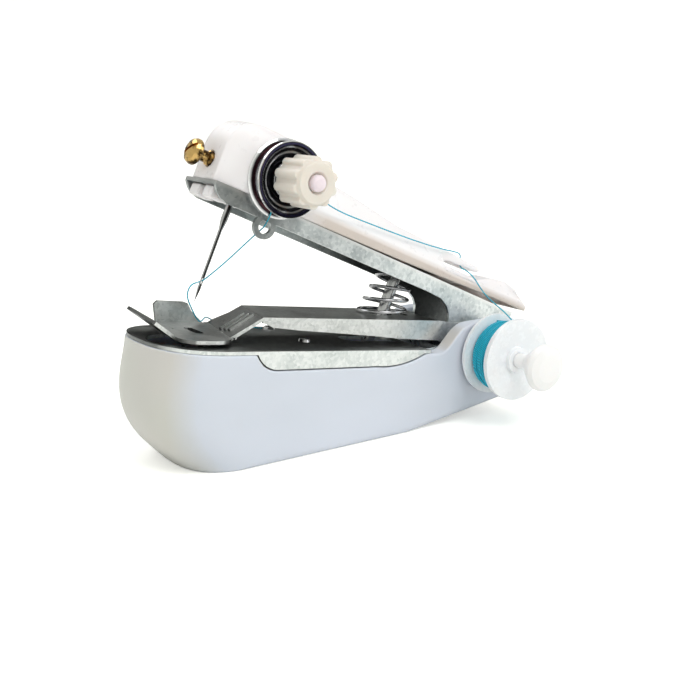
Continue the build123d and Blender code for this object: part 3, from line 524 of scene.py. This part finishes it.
# ---- thread ----
THREAD_RADIUS = 0.15 * MM
EYELET_THREAD = on_arm(71.3, -6.9, 7.2)
upper_route = [
    on_arm(2.55, -22.4, 8.25), on_arm(3.5, -19.6, 10.0), on_arm(4.1, -16.0, 11.4),
    on_arm(4.7, -12.2, 12.8), on_arm(5.4, -9.0, 14.8), on_arm(6.6, -6.8, 16.9),
    on_arm(7.6, -4.4, 18.1), on_arm(8.8, -2.8, 18.3), on_arm(9.3, -2.3, 20.0),
    on_arm(9.9, -2.6, 21.6), on_arm(13.0, -3.9, 21.4), on_arm(19.2, -5.0, 20.2),
    on_arm(30.2, -6.1, 19.0), on_arm(44.5, -7.5, 18.0), on_arm(56.0, -8.8, 17.3),
    on_arm(63.0, -9.25, 18.6), on_arm(68.2, -9.25, 21.0), on_arm(71.4, -9.25, 21.6),
    on_arm(74.0, -9.25, 20.2), on_arm(74.3, -9.25, 17.2), on_arm(72.6, -9.2, 13.4),
    on_arm(71.5, -8.6, 9.8), EYELET_THREAD,
]
needle_route = [
    EYELET_THREAD, on_arm(71.9, -5.4, 5.0), on_arm(74.6, -2.4, -2.6), on_arm(77.2, -0.5, -8.1),
    on_arm(77.75, 0.1, -8.9), on_arm(78.4, 0.15, -9.4),
]
thread = round_wire("running_thread", upper_route, THREAD_RADIUS, TEAL, "thread_teal")
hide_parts("upper_thread")
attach(thread, "arm")
slack = round_wire("needle_line", needle_route, THREAD_RADIUS, TEAL, "thread_teal")
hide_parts("needle_thread")
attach(slack, "arm")
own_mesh(slack)

tail_route = [
    on_arm(78.55, 0.15, -9.5), on_arm(79.6, -0.1, -10.0), on_arm(80.4, -0.6, -11.4),
    on_arm(80.2, -0.8, -13.4), on_deck(14.6, 0.4, 5.6), on_deck(16.9, 2.4, 3.5),
    on_deck(19.4, 5.4, 2.8), on_deck(22.0, 9.0, 3.1), on_deck(24.4, 12.4, 2.8),
    on_deck(27.6, 13.2, 1.3), on_deck(31.4, 12.9, 0.5), on_deck(35.6, 12.0, 0.4),
    on_deck(39.4, 10.9, 0.4),
]
tail = round_wire("thread_tail", tail_route, THREAD_RADIUS, TEAL, "thread_teal")
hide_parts("needle_tail")
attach(tail, "presser")
line_points("tail_line", tail_route)
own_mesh(tail)

# the winding: an even layer, and a looser one crossing over it
wind_low, wind_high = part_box("bobbin_thread")
SPOOL_IN, SPOOL_OUT = wind_high.y, wind_low.y


def winding(radius, turns, wander, seed):
    """One layer of thread on the bobbin: it runs from side to side, wanders and is highest in the middle."""
    points = []
    steps = 20
    for step in range(turns * steps + 1):
        share = step / (turns * steps)
        angle = 2 * pi * step / steps
        sweep = SPOOL_IN + (SPOOL_OUT - SPOOL_IN) * (0.05 + 0.9 * share)
        drift = wander * sin(angle * 0.37 + seed) + 0.5 * wander * sin(angle * 0.83 + 2 * seed)
        crown = 0.25 * MM * (1 - (2 * share - 1) ** 4)
        reach = radius + crown + 0.12 * MM * sin(angle * 0.61 + seed)
        points.append(PIVOT + Vector((reach * sin(angle), sweep + drift - PIVOT.y, reach * cos(angle))))
    return points


WOUND_RADIUS = 0.24 * MM
for name, reach, turns, wander, seed in (
    ("winding_under", 8.1 * MM, 15, 0.15 * MM, 0.7),
    ("winding_over", 8.4 * MM, 8, 0.6 * MM, 2.1),
):
    route = winding(reach, turns, wander, seed)
    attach(round_wire(name, route, WOUND_RADIUS, TEAL, "thread_teal", facets=2), "bobbin_reel")


# ---- floor, light and camera ----
def floor():
    """A round floor that curves up into a wall all round, so that no horizon shows."""
    reach, sweep, height = 0.9, 0.5, 1.4
    profile = [(0.001, 0.0), (reach * 0.5, 0.0), (reach, 0.0)]
    for step in range(1, 11):
        angle = pi / 2 * step / 10
        profile.append((reach + sweep * sin(angle), sweep * (1 - cos(angle))))
    profile.append((reach + sweep, height))
    mesh = bpy.data.meshes.new("floor")
    form = bmesh.new()
    sides = 96
    turns = [2 * pi * side / sides for side in range(sides)]
    rings = [[form.verts.new((r * cos(turn), r * sin(turn), z)) for turn in turns] for r, z in profile]
    for low, high in zip(rings, rings[1:]):
        for side in range(sides):
            following = (side + 1) % sides
            form.faces.new((low[side], high[side], high[following], low[following]))
    form.faces.new(list(reversed(rings[0])))
    bmesh.ops.recalc_face_normals(form, faces=form.faces)
    form.to_mesh(mesh)
    form.free()
    smooth(mesh)
    piece = link(bpy.data.objects.new("floor", mesh))
    cream = Paint("floor_cream", Roughness=0.9, Emission_Color=(1, 1, 0.97, 1))
    lift = cream.node("ShaderNodeMath", operation="MULTIPLY")
    cream.tree.links.new(cream.node("ShaderNodeLightPath").outputs["Is Camera Ray"], lift.inputs[0])
    lift.inputs[1].default_value = 0.42
    cream.feed("Emission Strength", lift.outputs["Value"])
    tone = cream.ramp(cream.noise(6, detail=2), (0.3, (0.95, 0.955, 0.925)), (0.7, (0.965, 0.97, 0.94)))
    cream.feed("Base Color", tone)
    paint(piece, cream.material)


def dark_card(name, centre, across, rise):
    """A black card that only shows in reflections, to give polished metal its dark parts."""
    mesh = bpy.data.meshes.new(name)
    corners = [centre + across * i + rise * j for i, j in ((-1, -1), (1, -1), (1, 1), (-1, 1))]
    mesh.from_pydata(corners, [], [(0, 1, 2, 3)])
    piece = link(bpy.data.objects.new(name, mesh))
    black = Paint(name, Roughness=1.0)
    tone = black.ramp(black.noise(4), (0.3, (0.008, 0.008, 0.009)), (0.7, (0.015, 0.015, 0.016)))
    black.feed("Base Color", tone)
    paint(piece, black.material)
    piece.visible_camera = False
    piece.visible_diffuse = False
    piece.visible_transmission = False
    piece.visible_shadow = False


def area_light(name, place, target, size, power, colour):
    light = bpy.data.lights.new(name, "AREA")
    light.shape = "RECTANGLE"
    light.size, light.size_y = size
    light.energy = power
    light.color = colour
    piece = link(bpy.data.objects.new(name, light))
    piece.location = place
    piece.rotation_euler = (Vector(target) - Vector(place)).to_track_quat("-Z", "Y").to_euler()


def surroundings(strength):
    """An even pale sky above the floor's wall."""
    world = bpy.data.worlds.new("studio")
    bpy.context.scene.world = world
    world.use_nodes = True
    background = world.node_tree.nodes["Background"]
    background.inputs["Color"].default_value = (0.98, 0.99, 1.0, 1)
    background.inputs["Strength"].default_value = strength


floor()
surroundings(0.55)
CENTRE = Vector((0.01, 0, 0.03))
area_light("key", (0.05, -0.45, 0.75), CENTRE, (0.5, 0.5), 3.0, (1.0, 0.99, 0.97))
area_light("fill", (0.6, -0.5, 0.35), CENTRE, (0.4, 0.4), 0.9, (0.93, 0.96, 1.0))
area_light("back", (-0.1, 0.6, 0.7), CENTRE, (0.8, 0.4), 2.0, (1.0, 1.0, 1.0))
dark_card("card_back", Vector((0.3, 0.42, 0.09)), Vector((0.35, -0.2, 0)), Vector((0, 0, 0.1)))
dark_card("card_front", Vector((0.075, -0.14, 0.035)), Vector((0.03, 0.02, 0)), Vector((0, 0, 0.02)))

CAMERA_AZIMUTH, CAMERA_ELEVATION = radians(-33.36), radians(11.75)
CAMERA_DISTANCE = 0.26
CAMERA_TARGET = Vector((13, 0, 30)) * MM
camera_data = bpy.data.cameras.new("camera")
camera_data.lens = 56.71
camera_data.sensor_width = 36
camera_data.shift_x = 0.0217
camera_data.shift_y = -0.0381
camera_data.clip_start = 0.01
camera = link(bpy.data.objects.new("camera", camera_data))
back = Vector(
    (
        sin(CAMERA_AZIMUTH) * cos(CAMERA_ELEVATION),
        -cos(CAMERA_AZIMUTH) * cos(CAMERA_ELEVATION),
        sin(CAMERA_ELEVATION),
    )
)
camera.location = CAMERA_TARGET + back * CAMERA_DISTANCE
camera.rotation_euler = back.to_track_quat("Z", "Y").to_euler()
bpy.context.scene.camera = camera
bpy.context.scene.view_settings.view_transform = "Standard"
